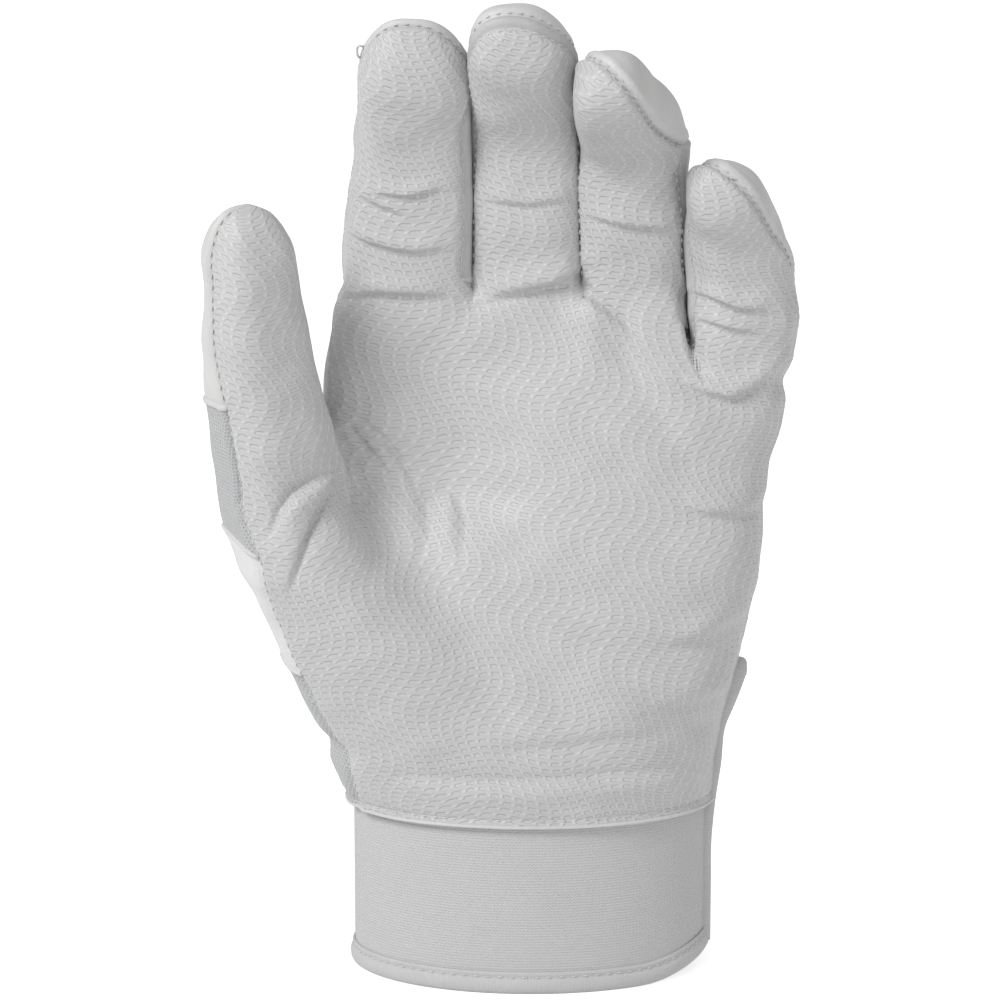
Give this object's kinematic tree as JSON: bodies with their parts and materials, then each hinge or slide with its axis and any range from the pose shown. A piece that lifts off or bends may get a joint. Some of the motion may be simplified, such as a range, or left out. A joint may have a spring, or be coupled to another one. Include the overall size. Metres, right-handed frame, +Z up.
{
  "type": "batting glove",
  "caption": "Left-hand batting glove in white embossed leather, with grey knit side strips, a neoprene cuff with a slit, and a wrist strap; it stands on its cuff with the fingers up.",
  "frame": {"origin": "middle of the bounding box, on the plane of the cuff rim that the glove stands on", "axes": "+Z up along the fingers, -Y out of the palm, -X towards the thumb"},
  "size_m": [0.1348, 0.0676, 0.2304],
  "materials": {
    "embossed_leather": "satin",
    "smooth_leather": "satin",
    "grey_knit": "matte",
    "cuff_jersey": "matte",
    "binding_tape": "matte",
    "strap_fabric": "matte",
    "hook_and_loop": "matte",
    "soft_tab": "matte"
  },
  "bodies": {
    "hand": {"palm_leather": "embossed_leather", "back_panel": "smooth_leather", "thumb_side_panel": "smooth_leather", "wrist_gusset": "grey_knit", "cuff_band": "cuff_jersey", "cuff_binding": "binding_tape", "slit_binding": "binding_tape", "loop_patch": "hook_and_loop", "strap_anchor": "strap_fabric", "index_knuckle_flex": "embossed_leather", "middle_knuckle_flex": "embossed_leather", "ring_knuckle_flex": "embossed_leather", "little_knuckle_flex": "embossed_leather", "thumb_knuckle_flex": "embossed_leather"},
    "index_tip": {"index_tip_front": "embossed_leather", "index_tip_back": "smooth_leather", "index_tip_side_outward": "grey_knit"},
    "index_base": {"index_middle_flex": "embossed_leather", "index_base_front": "embossed_leather", "index_base_back": "smooth_leather", "index_base_side_outward": "grey_knit"},
    "middle_tip": {"middle_tip_front": "embossed_leather", "middle_tip_back": "smooth_leather", "middle_tip_side_thumbward": "grey_knit", "middle_tip_side_outward": "grey_knit"},
    "middle_base": {"middle_middle_flex": "embossed_leather", "middle_base_front": "embossed_leather", "middle_base_back": "smooth_leather", "middle_base_side_thumbward": "grey_knit", "middle_base_side_outward": "grey_knit"},
    "ring_tip": {"ring_tip_front": "embossed_leather", "ring_tip_back": "smooth_leather", "ring_tip_side_thumbward": "grey_knit", "ring_tip_side_outward": "grey_knit"},
    "ring_base": {"ring_middle_flex": "embossed_leather", "ring_base_front": "embossed_leather", "ring_base_back": "smooth_leather", "ring_base_side_thumbward": "grey_knit", "ring_base_side_outward": "grey_knit"},
    "little_tip": {"little_tip_front": "embossed_leather", "little_tip_back": "smooth_leather", "little_tip_side_thumbward": "grey_knit"},
    "little_base": {"little_middle_flex": "embossed_leather", "little_base_front": "embossed_leather", "little_base_back": "smooth_leather", "little_base_side_thumbward": "grey_knit"},
    "thumb_tip": {"thumb_tip_front": "embossed_leather", "thumb_tip_back": "smooth_leather"},
    "thumb_base": {"thumb_middle_flex": "embossed_leather", "thumb_base_front": "embossed_leather", "thumb_base_back": "grey_knit"},
    "strap_body": {"strap": "strap_fabric", "hook_patch": "hook_and_loop", "pull_tab": "soft_tab"}
  },
  "joints": [
    {"name": "index_base_bend", "type": "hinge", "parent": "hand", "child": "index_base", "pos_m": [-0.02144, 0.00171, 0.172], "axis": [0.9986, 0, -0.0523], "range_deg": [-18, 60], "stiffness_Nm_per_rad": 0.04, "deforming": ["index_knuckle_flex"]},
    {"name": "index_tip_bend", "type": "hinge", "parent": "index_base", "child": "index_tip", "pos_m": [-0.02025, -0.00149, 0.19475], "axis": [0.9986, 0, -0.0523], "range_deg": [-22, 65], "stiffness_Nm_per_rad": 0.03, "deforming": ["index_middle_flex"]},
    {"name": "middle_base_bend", "type": "hinge", "parent": "hand", "child": "middle_base", "pos_m": [0.00615, 0.00321, 0.174], "axis": [0.9998, 0, 0.0175], "range_deg": [-20, 60], "stiffness_Nm_per_rad": 0.04, "deforming": ["middle_knuckle_flex"]},
    {"name": "middle_tip_bend", "type": "hinge", "parent": "middle_base", "child": "middle_tip", "pos_m": [0.00571, -0.00131, 0.1996], "axis": [0.9998, 0, 0.0175], "range_deg": [-32, 60], "stiffness_Nm_per_rad": 0.03, "deforming": ["middle_middle_flex"]},
    {"name": "ring_base_bend", "type": "hinge", "parent": "hand", "child": "ring_base", "pos_m": [0.03076, 0.00221, 0.173], "axis": [0.9986, 0, 0.0523], "range_deg": [-26, 55], "stiffness_Nm_per_rad": 0.04, "deforming": ["ring_knuckle_flex"]},
    {"name": "ring_tip_bend", "type": "hinge", "parent": "ring_base", "child": "ring_tip", "pos_m": [0.02955, -0.00441, 0.19604], "axis": [0.9986, 0, 0.0523], "range_deg": [-40, 52], "stiffness_Nm_per_rad": 0.03, "deforming": ["ring_middle_flex"]},
    {"name": "little_base_bend", "type": "hinge", "parent": "hand", "child": "little_base", "pos_m": [0.05575, -0.00129, 0.153], "axis": [0.9969, 0, 0.0785], "range_deg": [-22, 60], "stiffness_Nm_per_rad": 0.04, "deforming": ["little_knuckle_flex"]},
    {"name": "little_tip_bend", "type": "hinge", "parent": "little_base", "child": "little_tip", "pos_m": [0.05422, -0.00545, 0.1725], "axis": [0.9969, 0, 0.0785], "range_deg": [-28, 60], "stiffness_Nm_per_rad": 0.03, "deforming": ["little_middle_flex"]},
    {"name": "thumb_base_bend", "type": "hinge", "parent": "hand", "child": "thumb_base", "pos_m": [-0.04845, -0.01529, 0.115], "axis": [0.8295, 0.5248, 0.1911], "range_deg": [-10, 15], "stiffness_Nm_per_rad": 0.04, "deforming": ["thumb_knuckle_flex"]},
    {"name": "thumb_tip_bend", "type": "hinge", "parent": "thumb_base", "child": "thumb_tip", "pos_m": [-0.05272, -0.01961, 0.1454], "axis": [0.8295, 0.5248, 0.1911], "range_deg": [-12, 28], "stiffness_Nm_per_rad": 0.03, "deforming": ["thumb_middle_flex"]},
    {"name": "strap_open", "type": "hinge", "parent": "hand", "child": "strap_body", "pos_m": [0.04438, 0.01881, 0], "axis": [0, 0, -1], "range_deg": [0, 100]}
  ]
}
